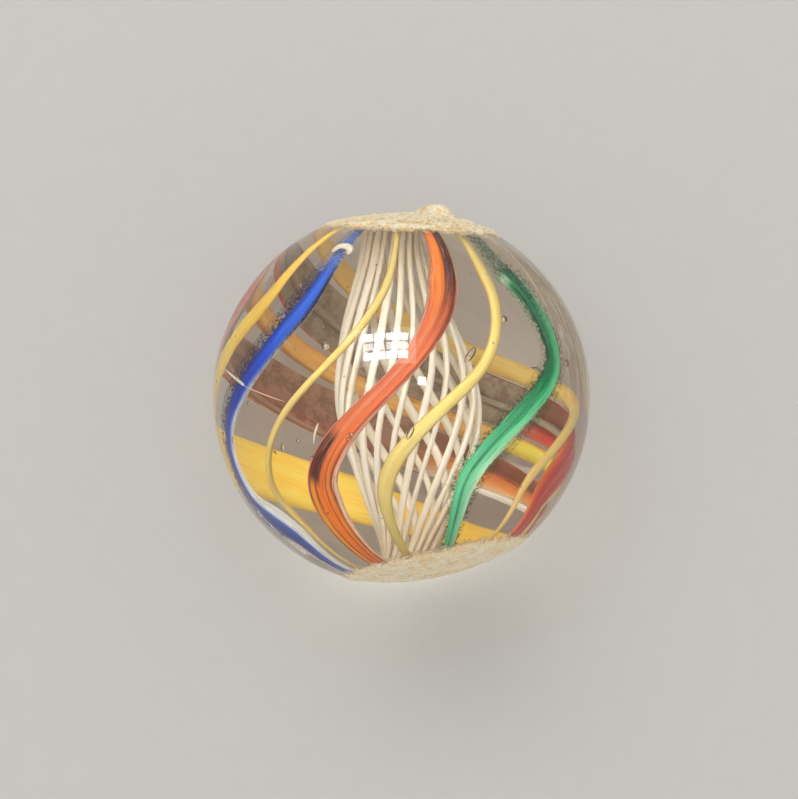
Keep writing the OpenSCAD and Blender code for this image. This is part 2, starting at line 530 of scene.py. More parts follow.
@dataclass(frozen=True)
class ClearGlass:
    """Slightly warm clear glass that lets the lamps reach the canes inside."""

    index: float = 1.5
    let_through: Colour = (0.95, 0.945, 0.93)
    depth_tint: Colour = (0.9, 0.84, 0.66)
    depth_density: float = 26.0

    def material(self) -> bpy.types.Material:
        """Builds the glass."""
        r = Recipe("clear_glass")
        glass = r.add("ShaderNodeBsdfPrincipled", {
            "Base Color": (1.0, 1.0, 1.0),
            "Roughness": 0.0,
            "IOR": self.index,
            "Transmission Weight": 1.0,
        })
        depth = r.add("ShaderNodeVolumeAbsorption", {
            "Color": self.depth_tint, "Density": self.depth_density,
        })
        return r.output(r.lit_through(glass, self.let_through), depth)


@dataclass(frozen=True)
class BubbleGas:
    """The skin of a bubble of air inside the glass."""

    index: float = 0.667

    def material(self) -> bpy.types.Material:
        """Builds the skin."""
        r = Recipe("bubble_skin")
        skin = r.add("ShaderNodeBsdfGlass", {
            "Color": (1.0, 1.0, 1.0), "Roughness": 0.0, "IOR": self.index,
        })
        return r.output(r.lit_through(skin, (0.8, 0.8, 0.8)))


@dataclass(frozen=True)
class Patch:
    """A patch of another colour on a ribbon.

    Attributes:
        colour: Its colour.
        latitudes: Latitudes of its two ends.
        across: Where it starts and ends across the ribbon.
    """

    colour: Colour
    latitudes: Point
    across: Point


@dataclass(frozen=True)
class RibbonGlass:
    """Streaky glass of a ribbon: bands across it that change from its crown to its foot.

    Attributes:
        name: The material's name.
        crown: Bands near the crown.
        waist: Bands at the waist.
        foot: Bands near the foot.
        inside: Bands of its inner side at the waist, painted darker as shade, since the inner side faces away from the
            lamps.
        inside_ends: Bands of its inner side towards both ends, also painted with that side's shade.
        deep: Darker colour of the streaks.
        light: Lighter colour of the streaks: partly real streaks, partly painted highlight lines along the glass.
        thin: Colour of light that passes where the glass is thin.
        wander: How far the bands wander across.
        rag: How ragged the bands' edges are.
        thin_from: Latitude above which only a thin film of it is left.
        thin_share: Share of its opacity that the film keeps.
        thin_body: Colour of the film, where that differs.
        patch: A patch of another colour, if it has one.
        inside_foot: Latitudes between which its inner side turns to the bands of its foot.
        shade_clouds: Colour of clouds of painted shade on its inner side near the waist, if it has them.
    """

    name: str
    crown: tuple[Stop, ...]
    waist: tuple[Stop, ...]
    foot: tuple[Stop, ...]
    inside: tuple[Stop, ...]
    inside_ends: tuple[Stop, ...]
    deep: Colour
    light: Colour
    thin: Colour
    wander: float = 0.2
    rag: float = 0.35
    thin_from: float = 90.0
    thin_share: float = 0.35
    thin_body: Colour | None = None
    patch: Patch | None = None
    inside_foot: Point = (-8.0, -22.0)
    shade_clouds: Colour | None = None

    def material(self) -> bpy.types.Material:
        """Builds the streaky glass."""
        r = Recipe(self.name)
        broad = r.noise(r.grain(0.8, 1.3), 2.0, 3.0)
        fine = r.noise(r.grain(7.0, 2.2), 2.2, 4.0, 0.62)
        specks = r.noise(r.place(), 7600.0, 2.0, 0.6)
        shift = r.math("MULTIPLY_ADD", r.math("SUBTRACT", broad, 0.5), self.wander, r.attribute("across"))
        shift = r.math("MULTIPLY_ADD", r.math("SUBTRACT", fine, 0.5), self.rag, shift)
        latitude = r.attribute("latitude")
        to_crown, to_foot = r.span(latitude, 6.0, 46.0), r.span(latitude, -4.0, -40.0)
        (crown, crown_solid), (waist, waist_solid), (foot, foot_solid) = (
            r.ramp(shift, stops) for stops in (self.crown, self.waist, self.foot))
        body = r.blend(to_foot, r.blend(to_crown, waist, crown), foot)
        solid = r.between(to_foot, r.between(to_crown, waist_solid, crown_solid), foot_solid)
        # Its inner side takes darker bands: painted shade, as that side faces away from the lamps.
        inner = r.attribute("inner")
        far = r.math("MAXIMUM", r.span(latitude, *self.inside_foot), r.span(latitude, 43.0, 50.0))
        (back, back_solid), (ends, ends_solid) = (
            r.ramp(shift, stops) for stops in (self.inside, self.inside_ends))
        body = r.blend(inner, body, r.blend(far, back, ends))
        solid = r.between(inner, solid, r.between(far, back_solid, ends_solid))
        # Clouds of painted shade on the inner side near the waist.
        if self.shade_clouds is not None:
            clouds = r.span(r.noise(r.place(), 2600.0, 5.0, 0.68), 0.44, 0.6, 0.0, 0.6)
            near = r.math("MULTIPLY", inner, r.math("SUBTRACT", 1.0, far))
            body = r.blend(r.math("MULTIPLY", clouds, near), body, self.shade_clouds)
        if self.patch is not None:
            (start, end), (left, right) = self.patch.latitudes, self.patch.across
            ends = r.math("MULTIPLY", self.window(r, latitude, start, end, 2.5), self.window(r, shift, left, right, 0.08))
            body = r.blend(ends, body, self.patch.colour)
        above = r.span(latitude, self.thin_from - 3, self.thin_from + 3)
        if self.thin_body is not None:
            body = r.blend(above, body, self.thin_body)
        solid = r.math("MULTIPLY", solid, r.between(above, 1.0, self.thin_share))
        # Lighter streaks are partly real streaks and partly painted highlight lines; the inner side gets fewer of them
        # and of the darker streaks.
        streaks = r.math("MULTIPLY_ADD", inner, -0.7, 1.0)
        body = r.blend(r.math("MULTIPLY", r.span(fine, 0.52, 0.66, 0.0, 0.4), streaks), body, self.light)
        body = r.blend(r.math("MULTIPLY", r.span(fine, 0.47, 0.34, 0.0, 0.5), streaks), body, self.deep)
        shader = r.add("ShaderNodeBsdfPrincipled", {
            "Base Color": body,
            "Roughness": 0.45,
            "Specular IOR Level": 0.12,
            "Normal": r.bump(fine, 0.00003, 0.7),
        })
        see = r.add("ShaderNodeBsdfTransparent", {"Color": self.thin})
        open_share = r.math("MULTIPLY", solid, r.math("SUBTRACT", 1.0, solid))
        swing = r.math("MULTIPLY", r.math("SUBTRACT", specks, 0.5), r.between(above, 19.0, 8.0))
        share = r.add("ShaderNodeMath", {
            0: swing, 1: open_share, 2: solid,
        }, operation="MULTIPLY_ADD", use_clamp=True).outputs[0]
        return r.output(r.mixed(share, see, shader))

    def window(self, r: Recipe, value: Socket, first: float, last: float, soft: float) -> Socket:
        """Gives 1 between two values and 0 outside them, with soft ends."""
        low, high = min(first, last), max(first, last)
        return r.math("MULTIPLY", r.span(value, low - soft, low + soft), r.span(value, high + soft, high - soft))


@dataclass(frozen=True)
class CaneGlass:
    """Opaque glass of a strand, thread or backing, with thin darker edges and specks.

    Attributes:
        name: The material's name.
        body: Main colour.
        light: Colour of its paler clouds.
        edge: Colour of its thin edges.
        speck: Colour of its few specks.
        ends: Main colour near its two ends.
        edge_from: Place across from which the edge shows.
        foot: Main colour of its foot half, where that differs.
    """

    name: str
    body: Colour
    light: Colour
    edge: Colour
    speck: Colour
    ends: Colour
    edge_from: float = 0.72
    foot: Colour | None = None

    def material(self) -> bpy.types.Material:
        """Builds the glass."""
        r = Recipe(self.name)
        cloud = r.noise(r.grain(1.2, 2.6), 1.6, 4.0, 0.6)
        fine = r.noise(r.grain(5.0, 2.4), 2.4, 3.0, 0.6)
        dust = r.noise(r.place(), 3200.0, 1.0)
        body = r.blend(r.span(cloud, 0.4, 0.6), self.body, self.light)
        far = r.math("ABSOLUTE", r.attribute("latitude"))
        body = r.blend(r.span(far, 14.0, 44.0, 0.0, 0.85), body, self.ends)
        if self.foot is not None:
            body = r.blend(r.span(r.attribute("latitude"), -5.0, -15.0), body, self.foot)
        body = r.blend(r.span(fine, 0.48, 0.34, 0.0, 0.25), body, self.edge)
        body = r.blend(r.span(dust, 0.74, 0.8), body, self.speck)
        rim = r.math("ABSOLUTE", r.attribute("across"))
        rim = r.math("MULTIPLY_ADD", r.math("SUBTRACT", fine, 0.5), 0.5, rim)
        body = r.blend(r.span(rim, self.edge_from, 1.05, 0.0, 0.85), body, self.edge)
        shader = r.add("ShaderNodeBsdfPrincipled", {
            "Base Color": body,
            "Roughness": 0.5,
            "Specular IOR Level": 0.12,
            "Normal": r.bump(fine, 0.00002, 0.6),
        })
        return r.output(shader)


@dataclass(frozen=True)
class ScarCrust:
    """Rough beige skin of a scar, with layered ridges, fine grit and bright specks."""

    name: str
    body: Colour
    shade: Colour
    bright: Colour
    layers: float

    def material(self) -> bpy.types.Material:
        """Builds the crust."""
        r = Recipe(self.name)
        where = r.place()
        coarse = r.noise(where, 1500.0, 5.0, 0.7)
        fine = r.noise(where, 6000.0, 2.0, 0.7)
        body = r.blend(r.span(coarse, 0.36, 0.56), self.shade, self.body)
        body = r.blend(r.span(r.attribute("ridge"), 0.4, 0.8, 0.0, self.layers), body, self.bright)
        body = r.blend(r.span(fine, 0.46, 0.36, 0.0, 0.5), body, self.shade)
        body = r.blend(r.span(fine, 0.56, 0.64, 0.0, 0.9), body, self.bright)
        height = r.math("MULTIPLY_ADD", fine, 0.5, coarse)
        crust = r.add("ShaderNodeBsdfPrincipled", {
            "Base Color": body,
            "Roughness": 0.4,
            "Specular IOR Level": 0.3,
            "Normal": r.bump(height, 0.00009),
        })
        see = r.add("ShaderNodeBsdfTransparent")
        rag = r.math("MULTIPLY_ADD", r.math("SUBTRACT", coarse, 0.5), 0.3, r.attribute("rim"))
        rag = r.math("MULTIPLY_ADD", r.math("SUBTRACT", fine, 0.5), 0.16, rag)
        return r.output(r.mixed(r.span(rag, 1.0, 0.93), see, crust))


@dataclass(frozen=True)
class PaintedReflectionGlass:
    """A painted reflection: a thin streaky olive sheet in the clear glass, with open gaps between its streaks,
    standing in for the crown scar's beige picture along the ball's limb.
    """

    body: Colour = tint(158, 128, 92)
    shade: Colour = tint(104, 82, 60)

    def material(self) -> bpy.types.Material:
        """Builds the painted reflection's sheet."""
        r = Recipe("painted_reflection_glass")
        where = r.vector(r.attribute("turn"), r.attribute("reach"))
        streak = r.noise(where, 1.0, 4.0, 0.6)
        body = r.blend(r.span(streak, 0.4, 0.6), self.shade, self.body)
        film = r.add("ShaderNodeBsdfPrincipled", {"Base Color": body, "Roughness": 0.5})
        see = r.add("ShaderNodeBsdfTransparent")
        share = r.math("MULTIPLY", r.span(streak, 0.4, 0.62), r.attribute("film"))
        return r.output(r.mixed(share, see, film))


CROWN_CRUST = ScarCrust("crown_crust", tint(246, 220, 168), tint(214, 182, 126), tint(255, 248, 226), 0.5)
# The foot's crust is painted paler than the crown's: painted light, standing in for the light that the ball focuses
# onto the foot.
FOOT_CRUST_PAINTED_LIGHT = ScarCrust("foot_crust_painted_light", tint(255, 234, 190), tint(244, 208, 152), tint(255, 254, 242), 0.3)
MAROON = tint(86, 28, 20)
NAVY = tint(24, 26, 58)
DARK_GREEN = tint(26, 58, 34)

BLUE_GLASS = RibbonGlass(
    "blue_glass",
    crown=(
        (-1.0, NAVY, 0.0), (-0.85, NAVY, 0.16), (-0.2, NAVY, 0.42),
        (-0.04, tint(0, 46, 156), 1.0), (0.35, tint(46, 108, 220), 1.0),
        (0.72, tint(24, 86, 206), 1.0), (0.84, tint(16, 28, 86), 0.7), (1.0, NAVY, 0.2)),
    waist=(
        (-1.0, NAVY, 0.0), (-0.85, NAVY, 0.2), (-0.2, tint(14, 20, 66), 0.5),
        (-0.04, tint(0, 30, 130), 1.0), (0.35, tint(0, 40, 178), 1.0),
        (0.7, tint(0, 52, 192), 1.0), (0.86, tint(130, 160, 216), 1.0),
        (1.0, tint(248, 248, 246), 1.0)),
    foot=(
        (-1.0, tint(30, 44, 66), 0.4), (-0.7, tint(22, 44, 110), 0.9),
        (-0.1, tint(10, 44, 140), 1.0), (0.3, tint(20, 66, 180), 1.0),
        (0.72, tint(60, 114, 208), 1.0), (0.86, tint(250, 250, 248), 1.0),
        (1.0, tint(255, 255, 250), 1.0)),
    # Inner side: darker blue bands, painted shade.
    inside=((-1.0, NAVY, 0.0), (-0.2, tint(14, 22, 66), 0.16), (0.0, tint(14, 40, 128), 1.0), (1.0, NAVY, 0.9)),
    inside_ends=((-1.0, NAVY, 0.0), (-0.2, NAVY, 0.16), (0.0, tint(14, 40, 128), 1.0), (1.0, NAVY, 0.9)),
    deep=tint(0, 14, 92), light=tint(60, 106, 214), thin=(0.95, 0.96, 0.98), thin_from=52.0,
    thin_share=0.6, thin_body=tint(78, 112, 184),
    patch=Patch(tint(240, 222, 192), (-42.0, -60.0), (-1.3, -0.45)))

ORANGE_GLASS = RibbonGlass(
    "orange_glass",
    crown=(
        (-1.0, tint(206, 156, 118), 1.0), (-0.9, tint(160, 84, 50), 0.9),
        (-0.8, tint(246, 130, 44), 1.0), (-0.3, tint(255, 140, 40), 1.0),
        (0.02, tint(246, 116, 30), 1.0), (0.1, tint(86, 24, 14), 1.0),
        (0.2, tint(52, 22, 16), 0.92), (0.8, tint(58, 26, 18), 0.9),
        (0.88, tint(206, 150, 116), 1.0), (1.0, tint(214, 166, 128), 1.0)),
    waist=(
        (-1.0, tint(240, 172, 150), 1.0), (-0.84, tint(208, 104, 78), 1.0),
        (-0.5, tint(220, 106, 66), 1.0), (-0.12, tint(246, 148, 104), 1.0),
        (0.18, tint(226, 106, 58), 1.0), (0.5, tint(242, 122, 66), 1.0),
        (0.74, tint(170, 54, 32), 1.0), (0.88, tint(234, 144, 118), 1.0),
        (1.0, tint(246, 202, 182), 1.0)),
    foot=(
        (-1.0, tint(252, 188, 150), 1.0), (-0.92, tint(220, 120, 76), 1.0),
        (-0.86, tint(120, 40, 18), 1.0), (-0.76, tint(255, 156, 36), 1.0),
        (-0.48, tint(255, 166, 46), 1.0), (-0.38, tint(150, 46, 10), 1.0),
        (-0.26, tint(252, 128, 26), 1.0), (0.2, tint(250, 124, 20), 1.0),
        (0.3, tint(176, 62, 14), 1.0), (0.38, tint(255, 156, 48), 1.0),
        (0.62, tint(248, 122, 30), 1.0), (0.74, tint(104, 46, 20), 1.0),
        (0.84, tint(246, 184, 140), 1.0), (1.0, tint(254, 220, 188), 1.0)),
    inside=((-1.0, tint(236, 160, 126), 1.0), (0.0, tint(226, 108, 60), 1.0), (1.0, tint(236, 160, 126), 1.0)),
    inside_ends=((-1.0, tint(236, 160, 126), 1.0), (0.0, tint(226, 108, 60), 1.0), (1.0, tint(236, 160, 126), 1.0)),
    deep=tint(176, 52, 18), light=tint(254, 180, 116), thin=(0.5, 0.2, 0.1),
    patch=Patch(MAROON, (-17.0, -33.0), (-0.86, -0.12)))

GREEN_GLASS = RibbonGlass(
    "green_glass",
    crown=(
        (-1.0, tint(96, 130, 90), 0.1), (-0.93, tint(70, 176, 122), 1.0),
        (-0.8, tint(0, 142, 84), 1.0), (-0.4, tint(0, 132, 78), 1.0),
        (-0.2, tint(0, 108, 66), 1.0), (-0.08, DARK_GREEN, 0.42),
        (0.1, DARK_GREEN, 0.3), (0.6, DARK_GREEN, 0.2), (1.0, DARK_GREEN, 0.0)),
    waist=(
        (-1.0, DARK_GREEN, 0.0), (-0.8, DARK_GREEN, 0.16), (-0.62, DARK_GREEN, 0.42),
        (-0.52, tint(0, 116, 68), 1.0), (-0.3, tint(0, 146, 84), 1.0),
        (-0.02, tint(0, 156, 92), 1.0), (0.12, tint(72, 204, 130), 1.0),
        (0.38, tint(112, 222, 158), 1.0), (0.45, tint(30, 90, 56), 0.5),
        (0.6, DARK_GREEN, 0.24), (0.8, DARK_GREEN, 0.12), (1.0, DARK_GREEN, 0.0)),
    foot=(
        (-1.0, DARK_GREEN, 0.0), (-0.8, DARK_GREEN, 0.12), (-0.64, tint(30, 90, 60), 0.34),
        (-0.54, tint(86, 204, 140), 1.0), (-0.2, tint(120, 226, 166), 1.0),
        (-0.1, tint(40, 130, 82), 1.0), (0.02, tint(92, 190, 134), 1.0),
        (0.28, tint(150, 224, 174), 1.0), (0.5, tint(206, 232, 190), 1.0),
        (0.58, tint(60, 104, 68), 0.4), (0.8, DARK_GREEN, 0.14), (1.0, DARK_GREEN, 0.0)),
    # Inner side: darker green bands, painted shade.
    inside=(
        (-1.0, DARK_GREEN, 0.0), (-0.6, DARK_GREEN, 0.1), (-0.46, tint(12, 74, 46), 0.95),
        (0.0, tint(20, 118, 74), 1.0), (0.38, tint(12, 74, 46), 0.95),
        (0.5, DARK_GREEN, 0.1), (1.0, DARK_GREEN, 0.0)),
    inside_ends=(
        (-1.0, DARK_GREEN, 0.0), (-0.55, DARK_GREEN, 0.1), (-0.4, tint(40, 130, 84), 1.0),
        (0.4, tint(40, 130, 84), 1.0), (0.52, DARK_GREEN, 0.1), (1.0, DARK_GREEN, 0.0)),
    deep=tint(0, 98, 58), light=tint(124, 226, 166), thin=(0.96, 0.97, 0.94), thin_from=39.0,
    thin_share=0.4, thin_body=tint(74, 92, 52),
    patch=Patch(tint(206, 226, 192), (39.0, 35.0), (-0.95, -0.45)))

RED_GLASS = RibbonGlass(
    "red_glass",
    crown=(
        (-1.0, tint(214, 108, 78), 1.0), (-0.7, tint(204, 66, 40), 1.0),
        (-0.2, tint(190, 48, 32), 1.0), (0.0, tint(244, 168, 144), 1.0),
        (0.14, tint(182, 40, 32), 1.0), (0.6, tint(204, 62, 40), 1.0),
        (1.0, tint(226, 130, 98), 0.95)),
    waist=(
        (-1.0, tint(190, 50, 30), 0.8), (-0.6, tint(186, 26, 16), 0.9),
        (-0.1, tint(200, 26, 18), 0.95), (0.02, tint(236, 120, 92), 1.0),
        (0.16, tint(204, 28, 18), 1.0), (0.6, tint(214, 40, 24), 1.0),
        (1.0, tint(228, 120, 98), 0.95)),
    foot=(
        (-1.0, tint(255, 156, 76), 1.0), (-0.8, tint(252, 100, 30), 1.0),
        (-0.5, tint(226, 50, 18), 1.0), (0.0, tint(200, 24, 16), 1.0),
        (0.12, tint(232, 90, 58), 1.0), (0.3, tint(196, 24, 16), 1.0),
        (0.8, tint(220, 46, 22), 1.0), (1.0, tint(240, 130, 96), 0.95)),
    # Inner side: greyish brown, painted shade in the tone of the ball's dim interior; shade_clouds adds clouds of
    # painted shade.
    inside=(
        (-1.0, tint(186, 170, 150), 0.97), (0.0, tint(176, 160, 140), 1.0),
        (0.8, tint(168, 150, 130), 1.0), (1.0, tint(180, 158, 136), 0.97)),
    inside_ends=(
        (-1.0, tint(150, 100, 76), 1.0), (0.0, tint(140, 82, 64), 1.0), (0.3, tint(176, 60, 46), 1.0),
        (0.6, tint(226, 78, 60), 1.0), (0.9, tint(236, 96, 76), 1.0), (1.0, tint(240, 140, 120), 1.0)),
    deep=tint(130, 10, 10), light=tint(240, 112, 80), thin=(0.8, 0.66, 0.58), rag=0.9,
    inside_foot=(0.0, -9.0), shade_clouds=tint(128, 108, 86))

RUST_GLASS = RibbonGlass(
    "rust_glass",
    crown=(
        (-1.0, tint(222, 110, 74), 1.0), (-0.7, tint(206, 66, 40), 1.0),
        (-0.2, tint(188, 52, 34), 1.0), (0.05, tint(244, 176, 150), 1.0),
        (0.2, tint(180, 48, 34), 1.0), (0.7, tint(204, 70, 44), 1.0),
        (1.0, tint(230, 150, 120), 0.95)),
    waist=(
        (-1.0, tint(190, 84, 56), 0.8), (-0.6, tint(176, 62, 42), 0.8),
        (0.0, tint(160, 52, 38), 0.8), (0.6, tint(176, 60, 44), 0.9),
        (0.88, tint(200, 108, 84), 0.9), (1.0, tint(236, 190, 162), 1.0)),
    foot=(
        (-1.0, tint(236, 124, 60), 1.0), (-0.6, tint(206, 72, 38), 1.0),
        (-0.1, tint(180, 52, 34), 1.0), (0.4, tint(226, 112, 52), 1.0),
        (0.75, tint(250, 190, 120), 1.0), (1.0, tint(254, 244, 224), 1.0)),
    # Inner side: greyish brown, painted shade in the tone of the ball's dim interior; shade_clouds adds clouds of
    # painted shade.
    inside=(
        (-1.0, tint(190, 150, 116), 0.97), (-0.85, tint(166, 132, 106), 1.0),
        (0.0, tint(160, 124, 100), 1.0), (0.6, tint(170, 112, 88), 1.0), (1.0, tint(186, 134, 108), 1.0)),
    inside_ends=(
        (-1.0, tint(150, 92, 62), 1.0), (-0.3, tint(124, 72, 50), 1.0), (-0.1, tint(216, 116, 54), 1.0),
        (0.3, tint(246, 156, 76), 1.0), (0.6, tint(255, 206, 150), 1.0), (1.0, tint(255, 246, 228), 1.0)),
    deep=tint(150, 52, 36), light=tint(236, 160, 124), thin=(0.8, 0.66, 0.58), rag=0.7,
    inside_foot=(-4.0, -14.0), shade_clouds=tint(104, 78, 58))

PALE_GLASS = CaneGlass(
    "pale_glass", tint(252, 250, 242), tint(255, 254, 248), tint(240, 232, 214), tint(214, 200, 176),
    tint(254, 253, 248))
PINK_PALE_GLASS = CaneGlass(
    "pink_pale_glass", tint(240, 186, 160), tint(248, 208, 186), tint(222, 150, 118),
    tint(206, 140, 110), tint(248, 206, 180))
BROWN_GLASS = CaneGlass(
    "brown_glass", tint(172, 156, 136), tint(180, 164, 144), tint(156, 138, 118), tint(130, 110, 90),
    tint(172, 140, 116))
BROWN_PALE_GLASS = CaneGlass(
    "brown_pale_glass", tint(170, 134, 110), tint(184, 146, 120), tint(156, 118, 96), tint(130, 96, 76),
    tint(170, 134, 110), foot=tint(255, 252, 242))
YELLOW_GLASS = CaneGlass(
    "yellow_glass", tint(252, 220, 120), tint(255, 232, 146), tint(214, 174, 90), tint(150, 112, 56),
    tint(224, 200, 122))
GOLD_GLASS = CaneGlass(
    "gold_glass", tint(255, 212, 86), tint(255, 222, 100), tint(236, 180, 76), tint(170, 126, 50),
    tint(255, 206, 80), 0.9)
WARM_GLASS = CaneGlass(
    "warm_glass", tint(252, 214, 116), tint(255, 226, 136), tint(232, 182, 96), tint(160, 116, 56),
    tint(255, 216, 134), 0.85)
AMBER_GLASS = CaneGlass(
    "amber_glass", tint(240, 180, 98), tint(248, 200, 120), tint(226, 140, 84), tint(160, 110, 60),
    tint(244, 196, 104), 0.8, foot=tint(246, 230, 96))
SLIVER_GLASS = CaneGlass(
    "sliver_glass", tint(240, 224, 196), tint(250, 242, 222), tint(204, 172, 140), tint(170, 140, 110),
    tint(240, 224, 196))
CREAM_GLASS = CaneGlass(
    "cream_glass", tint(252, 240, 218), tint(255, 248, 232), tint(226, 208, 176), tint(196, 174, 138),
    tint(226, 204, 168), 0.8)


# ---- Sub-assemblies ----


@dataclass(frozen=True)
class Caster:
    """Casts canes along the pattern."""

    pattern: Pattern
    rings: int = 146
    wobble_pitch: float = 2.1
    overrun: float = 6.0

    def cast(
        self,
        cane: Cane,
        track: Track,
        outline: Callable[[float], list[Point]],
        across: Sequence[float],
        wobble: float,
        outer: int = 99,
    ) -> bmesh.types.BMesh:
        """Sweeps one cane along its track, until its ends are under the scars' skins.

        Args:
            cane: The cane.
            track: Its track.
            outline: Gives its section at a latitude, at full size.
            across: Place of each outline point across the cane, -1 to 1.
            wobble: Share by which its size wanders.
            outer: How many of the outline's points lie on its outer side.

        Returns:
            The closed mesh.
        """
        rows = []
        end = self.pattern.end_latitude + self.overrun
        along = sum(ord(letter) for letter in cane.name) * 1.7
        last: Vector | None = None
        for i in range(self.rings):
            latitude = end * (1 - 2 * i / (self.rings - 1))
            spot = self.pattern.point(cane, track, latitude)
            along += (spot - last).length if last is not None else 0.0
            last = spot
            wander = noise.noise(Vector((along * self.wobble_pitch, 0.3, cane.waist)))
            size = self.pattern.taper(latitude) * (1 + wobble * wander) * self.tip(i)
            half = size * self.pattern.width(cane, latitude) / 2
            points = [(x * half, y * size) for x, y in outline(latitude)]
            station = self.pattern.station(cane, track, latitude)
            rows.append(Ring(station, points, along, latitude))
        return swept(rows, across, outer)

    def tip(self, ring: int) -> float:
        """Gives the share of its size that a ring keeps near the cane's two tips."""
        from_end = min(ring, self.rings - 1 - ring)
        return between(ease((from_end + 1) / 5), 0.35, 1.0)


def top_half(steps: int) -> list[Point]:
    """Gives a flat half oval of half-width 1 and height 1, from its + edge to its - edge."""
    turns = [math.pi * k / steps for k in range(steps + 1)]
    return [(math.cos(t), math.sin(t) ** 0.6 if 0 < k < steps else 0.0) for k, t in enumerate(turns)]


@dataclass(frozen=True)
class Ribbon:
    """A coloured ribbon on its pale backing.

    Attributes:
        cane: Its row.
        slot: The record's slot of its colour; not used.
        finish: Its coloured glass.
        groove: Place across of the groove between its two lobes.
        backed: Where its backing starts and ends, as shares of half its width.
        backed_foot: The same near the foot.
        backing: The backing's glass.
    """

    cane: Cane
    slot: Slot
    finish: RibbonGlass
    groove: float
    backed: Point
    backed_foot: Point
    backing: CaneGlass
    colour_layer: float = 0.024
    backing_layer: float = 0.018
    groove_width: float = 0.16
    groove_depth: float = 0.5
    spread_latitude: float = 42.0
    gap: float = 0.0006
    steps: int = 22

    def build(self, caster: Caster) -> list[bpy.types.Object]:
        """Builds the coloured layer and the backing.

        Args:
            caster: Casts the canes.

        Returns:
            The two pieces.
        """
        top = top_half(self.steps)
        flat = [-0.97, -0.7, -0.35, 0.0, 0.35, 0.7, 0.97]
        lobed = []
        for x, y in top:
            groove = math.exp(-(((x - self.groove) / self.groove_width) ** 2))
            lobed.append((x, y * self.colour_layer * (1 - self.groove_depth * groove)))
        lobed += [(x, 0.0) for x in flat]
        across = [x for x, _ in top] + flat
        mesh = caster.cast(self.cane, Track.RING, lambda _: lobed, across, 0.1, len(top))
        colour = finished(f"{self.cane.name}_ribbon_cane", mesh, [f"{self.cane.name}_ribbon"])
        colour.data.materials.append(self.finish.material())

        def under(latitude: float) -> list[Point]:
            """Gives the backing's section at a latitude."""
            share = ease(-latitude / self.spread_latitude)
            start, end = (between(share, *pair) for pair in zip(self.backed, self.backed_foot))
            middle, reach = (start + end) / 2, (end - start) / 2
            return [(middle - reach * x, -self.gap - self.backing_layer * y) for x, y in top]

        mesh = caster.cast(self.cane, Track.RING, under, [-x for x, _ in top], 0.1)
        backing = finished(f"{self.cane.name}_backing_cane", mesh, [f"{self.cane.name}_backing"])
        backing.data.materials.append(self.backing.material())
        return [colour, backing]


@dataclass(frozen=True)
class ColourRing:
    """The five ribbons with their backings, and the five yellow strands."""

    caster: Caster
    strand_thickness: float = 0.042
    strand_sides: int = 16
    ribbons: tuple[Ribbon, ...] = (
        Ribbon(
            Cane("blue", -88.7, -26.4, -104, 2, (0.16, 0.15, 0.15)), Slot.BLUE, BLUE_GLASS, -0.08,
            (0.0, 1.0), (0.0, 1.45), PALE_GLASS),
        Ribbon(
            Cane("orange", 0.8, 41.9, -60.4, 0.3, (0.152, 0.1, 0.18)), Slot.ORANGE, ORANGE_GLASS, 0.12,
            (-1.0, 1.0), (-1.0, 1.0), PINK_PALE_GLASS),
        Ribbon(
            Cane("green", 78.9, 76, 14.1, 0.1, (0.18, 0.2, 0.19)), Slot.GREEN, GREEN_GLASS, -0.06,
            (-0.4, 0.4), (-0.4, 0.4), PALE_GLASS),
        Ribbon(
            Cane("red", 154, 213.8, 84.2, 2.3, (0.14, 0.126, 0.15)), Slot.RED, RED_GLASS, 0.05,
            (-0.1, 0.2), (-0.1, 0.2), BROWN_GLASS),
        Ribbon(
            Cane("rust", 185.9, 246.1, 108.7, -0.5, (0.15, 0.13, 0.09)), Slot.RUST, RUST_GLASS, 0.3,
            (0.86, 1.0), (0.35, 1.0), BROWN_PALE_GLASS),
    )
    strands: tuple[tuple[Cane, CaneGlass], ...] = (
        (Cane("yellow_strand_1", 222.8, 306.5, 127.2, -2.3, (0.08, 0.15, 0.06)), GOLD_GLASS),
        (Cane("yellow_strand_2", -40.2, 14.3, -84.8, 3, (0.042, 0.038, 0.036)), YELLOW_GLASS),
        (Cane("yellow_strand_3", 36, 64.8, -28.2, 0.1, (0.062, 0.055, 0.085)), YELLOW_GLASS),
        (Cane("yellow_strand_4", 136.9, 201.8, 56.7, 3.2, (0.055, 0.055, 0.05)), WARM_GLASS),
        (Cane("yellow_strand_5", 170.1, 225.6, 96.8, 2, (0.055, 0.06, 0.057)), AMBER_GLASS),
    )

    def build(self) -> list[bpy.types.Object]:
        """Builds every ribbon, backing and strand."""
        pieces = []
        for ribbon in self.ribbons:
            pieces += ribbon.build(self.caster)
        turns = [math.tau * k / self.strand_sides for k in range(self.strand_sides)]
        for cane, finish in self.strands:
            oval = [(math.cos(t), self.strand_thickness / 2 * math.sin(t)) for t in turns]
            mesh = self.caster.cast(cane, Track.RING, lambda _: oval, [math.cos(t) for t in turns], 0.16)
            piece = finished(f"{cane.name}_cane", mesh, [cane.name])
            piece.data.materials.append(finish.material())
            pieces.append(piece)
        return pieces


